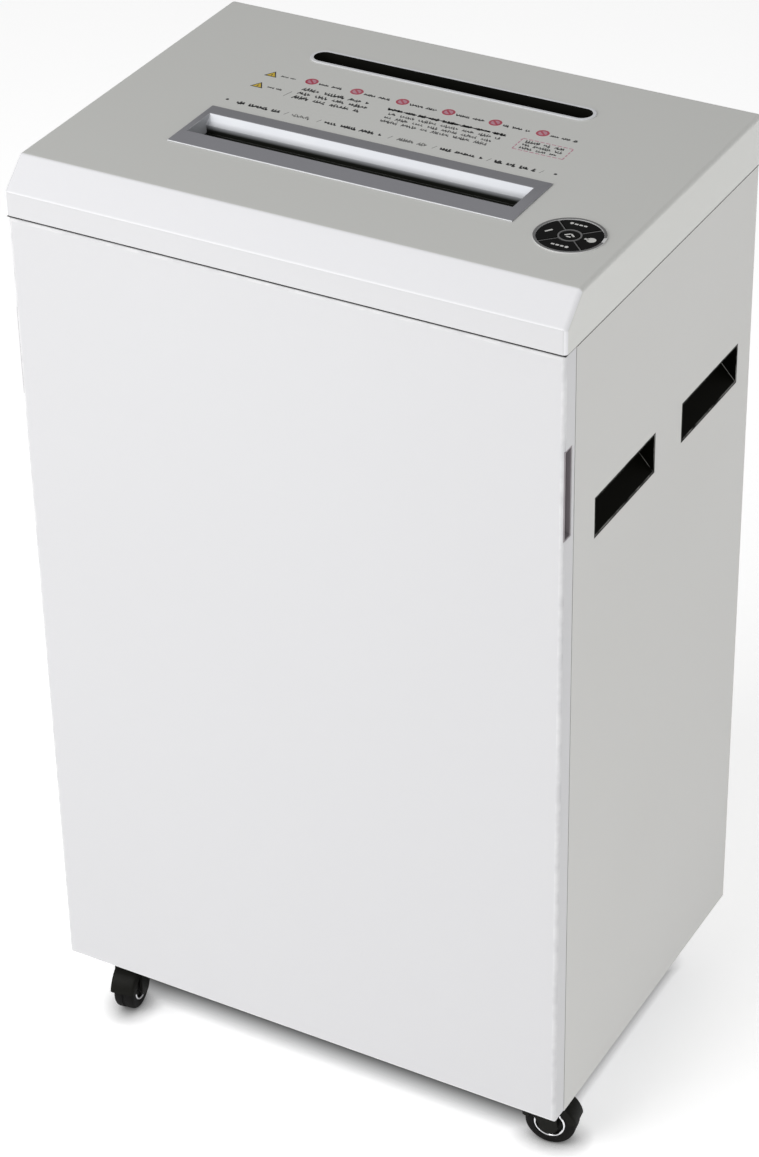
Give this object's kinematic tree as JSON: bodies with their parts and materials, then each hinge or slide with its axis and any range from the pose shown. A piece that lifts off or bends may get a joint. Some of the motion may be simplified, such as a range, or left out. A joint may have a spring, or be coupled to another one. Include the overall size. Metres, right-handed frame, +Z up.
{
  "type": "paper shredder",
  "caption": "Console paper shredder with separate paper and media feeds, a round control pad, a pull-out bin cabinet and swivel casters.",
  "frame": {"origin": "on the floor, under the centre of the head's outline", "axes": "+Z up; +Y from the front (the drawer face and the cut-back front edge) to the back; +X to the user's right, where the control pad is"},
  "size_m": [0.43, 0.308, 0.7528],
  "materials": {
    "front_white": "smooth white moulding, very fine texture, soft sheen",
    "head_grey": "light warm grey moulding, fine spark texture",
    "side_paint": "light grey powder coat, fine texture",
    "zinc_sheet": "zinc plated sheet steel",
    "runner_steel": "bright zinc plated rolled steel",
    "grip_black": "black moulding, fine texture",
    "pull_dark": "dark warm grey moulding",
    "bezel_silver": "satin silver-grey painted moulding",
    "throat_dark": "dark grey moulding",
    "trim_light": "light grey moulding, satin",
    "key_black": "polished black with pale printed symbols",
    "rocker_black": "polished black",
    "inlet_black": "black moulding with bright metal blades",
    "board_green": "green circuit board with dark components",
    "capacitor_case": "drawn aluminium can",
    "motor_paint": "dark painted motor case",
    "block_steel": "laser cut steel plate and bright bar",
    "cutter_steel": "ground hardened steel, lightly oiled",
    "gear_steel": "hobbed steel with a film of grease",
    "bush_brass": "sintered bronze",
    "comb_plastic": "black glass-filled moulding",
    "screw_steel": "bright plated cross-head screws",
    "bin_grey": "dark grey moulded bin, fine texture",
    "caster_steel": "zinc plated pressed steel",
    "fork_black": "black moulding, satin",
    "wheel_black": "black tyre on a moulded centre"
  },
  "bodies": {
    "cabinet": {"base_plate": "zinc_sheet", "left_side_panel": "side_paint", "right_side_panel": "side_paint", "back_panel": "side_paint", "upper_deck": "zinc_sheet", "outer_runners": "runner_steel", "carry_grips": "grip_black", "top_cover": "head_grey", "feed_bezel": "bezel_silver", "feed_throat": "throat_dark", "media_slot_trim": "trim_light", "pad_ring": "trim_light", "control_board": "board_green", "main_board": "board_green", "capacitor": "capacitor_case", "motor_housing": "motor_paint", "left_block_plate": "block_steel", "right_block_plate": "block_steel", "gear_cover_plate": "block_steel", "tie_rods": "block_steel", "shaft_bearings": "bush_brass", "paper_combs": "comb_plastic", "idler_axle": "block_steel", "paper_sensor": "inlet_black", "drawer_switch": "inlet_black", "power_inlet": "inlet_black", "caster_plates": "caster_steel", "panel_screws": "screw_steel"},
    "drawer": {"front_panel": "front_white", "drawer_grips": "pull_dark", "bin_carrier": "zinc_sheet", "inner_runners": "runner_steel", "waste_bin": "bin_grey"},
    "middle_runners": {"middle_runners": "runner_steel"},
    "front_cutter": {"front_cutter": "cutter_steel", "front_sync_gear": "gear_steel"},
    "rear_cutter": {"rear_cutter": "cutter_steel", "rear_sync_gear": "gear_steel", "rear_drive_gear": "gear_steel"},
    "intermediate_gear": {"intermediate_gear": "gear_steel"},
    "motor_rotor": {"motor_rotor": "gear_steel", "cooling_fan": "comb_plastic"},
    "media_front_cutter": {"media_front_cutter": "cutter_steel", "media_front_gear": "gear_steel"},
    "media_rear_cutter": {"media_rear_cutter": "cutter_steel", "media_rear_gear": "gear_steel"},
    "power_rocker": {"power_rocker": "rocker_black"},
    "button_centre": {"button_centre": "key_black"},
    "button_front": {"button_front": "key_black"},
    "button_back": {"button_back": "key_black"},
    "button_left": {"button_left": "key_black"},
    "button_right": {"button_right": "key_black"},
    "front_left_fork": {"front_left_fork": "fork_black"},
    "front_left_wheel": {"front_left_wheel": "wheel_black"},
    "front_right_fork": {"front_right_fork": "fork_black"},
    "front_right_wheel": {"front_right_wheel": "wheel_black"},
    "rear_left_fork": {"rear_left_fork": "fork_black"},
    "rear_left_wheel": {"rear_left_wheel": "wheel_black"},
    "rear_right_fork": {"rear_right_fork": "fork_black"},
    "rear_right_wheel": {"rear_right_wheel": "wheel_black"}
  },
  "joints": [
    {"name": "drawer_slide", "type": "slide", "parent": "cabinet", "child": "drawer", "axis": [0, -1, 0], "range_m": [0, 0.25]},
    {"name": "middle_runner_slide", "type": "slide", "parent": "cabinet", "child": "middle_runners", "axis": [0, -1, 0], "range_m": [0, 0.125]},
    {"name": "rear_cutter_spin", "type": "hinge", "parent": "cabinet", "child": "rear_cutter", "pos_m": [0, -0.022, 0.65], "axis": [1, 0, 0], "continuous": true},
    {"name": "front_cutter_spin", "type": "hinge", "parent": "cabinet", "child": "front_cutter", "pos_m": [0, -0.058, 0.65], "axis": [1, 0, 0], "continuous": true},
    {"name": "intermediate_gear_spin", "type": "hinge", "parent": "cabinet", "child": "intermediate_gear", "pos_m": [0, 0.02284, 0.66913], "axis": [1, 0, 0], "continuous": true},
    {"name": "motor_spin", "type": "hinge", "parent": "cabinet", "child": "motor_rotor", "pos_m": [0, 0.044, 0.64], "axis": [1, 0, 0], "continuous": true},
    {"name": "media_front_cutter_spin", "type": "hinge", "parent": "cabinet", "child": "media_front_cutter", "pos_m": [0, 0.08699, 0.65331], "axis": [1, 0, 0], "continuous": true},
    {"name": "media_rear_cutter_spin", "type": "hinge", "parent": "cabinet", "child": "media_rear_cutter", "pos_m": [0, 0.10499, 0.65331], "axis": [1, 0, 0], "continuous": true},
    {"name": "power_rocker_tilt", "type": "hinge", "parent": "cabinet", "child": "power_rocker", "pos_m": [0.167, 0.145, 0.625], "axis": [1, 0, 0], "range_deg": [0, 24]},
    {"name": "button_centre_press", "type": "slide", "parent": "cabinet", "child": "button_centre", "axis": [0, 0, -1], "range_m": [0, 0.001], "stiffness_N_per_m": 300, "springref_m": -0.001},
    {"name": "button_front_press", "type": "slide", "parent": "cabinet", "child": "button_front", "axis": [0, 0, -1], "range_m": [0, 0.001], "stiffness_N_per_m": 300, "springref_m": -0.001},
    {"name": "button_back_press", "type": "slide", "parent": "cabinet", "child": "button_back", "axis": [0, 0, -1], "range_m": [0, 0.001], "stiffness_N_per_m": 300, "springref_m": -0.001},
    {"name": "button_left_press", "type": "slide", "parent": "cabinet", "child": "button_left", "axis": [0, 0, -1], "range_m": [0, 0.001], "stiffness_N_per_m": 300, "springref_m": -0.001},
    {"name": "button_right_press", "type": "slide", "parent": "cabinet", "child": "button_right", "axis": [0, 0, -1], "range_m": [0, 0.001], "stiffness_N_per_m": 300, "springref_m": -0.001},
    {"name": "front_left_swivel", "type": "hinge", "parent": "cabinet", "child": "front_left_fork", "pos_m": [-0.178, -0.112, 0.055], "axis": [0, 0, 1], "continuous": true},
    {"name": "front_left_roll", "type": "hinge", "parent": "front_left_fork", "child": "front_left_wheel", "pos_m": [-0.17557, -0.12579, 0.02], "axis": [0.9848, 0.1736, 0], "continuous": true},
    {"name": "front_right_swivel", "type": "hinge", "parent": "cabinet", "child": "front_right_fork", "pos_m": [0.178, -0.112, 0.055], "axis": [0, 0, 1], "continuous": true},
    {"name": "front_right_roll", "type": "hinge", "parent": "front_right_fork", "child": "front_right_wheel", "pos_m": [0.19186, -0.11005, 0.02], "axis": [-0.1392, 0.9903, 0], "continuous": true},
    {"name": "rear_left_swivel", "type": "hinge", "parent": "cabinet", "child": "rear_left_fork", "pos_m": [-0.178, 0.112, 0.055], "axis": [0, 0, 1], "continuous": true},
    {"name": "rear_left_roll", "type": "hinge", "parent": "rear_left_fork", "child": "rear_left_wheel", "pos_m": [-0.19012, 0.119, 0.02], "axis": [-0.5, -0.866, 0], "continuous": true},
    {"name": "rear_right_swivel", "type": "hinge", "parent": "cabinet", "child": "rear_right_fork", "pos_m": [0.178, 0.112, 0.055], "axis": [0, 0, 1], "continuous": true},
    {"name": "rear_right_roll", "type": "hinge", "parent": "rear_right_fork", "child": "rear_right_wheel", "pos_m": [0.16414, 0.11395, 0.02], "axis": [-0.1392, -0.9903, 0], "continuous": true}
  ],
  "couplings": [
    {"joint": "middle_runner_slide", "follows": "drawer_slide", "ratio": 0.5},
    {"joint": "front_cutter_spin", "follows": "rear_cutter_spin", "ratio": -1},
    {"joint": "intermediate_gear_spin", "follows": "rear_cutter_spin", "ratio": -3.3333},
    {"joint": "motor_spin", "follows": "rear_cutter_spin", "ratio": 13.81},
    {"joint": "media_front_cutter_spin", "follows": "rear_cutter_spin", "ratio": -2.5439},
    {"joint": "media_rear_cutter_spin", "follows": "rear_cutter_spin", "ratio": 2.5439}
  ]
}
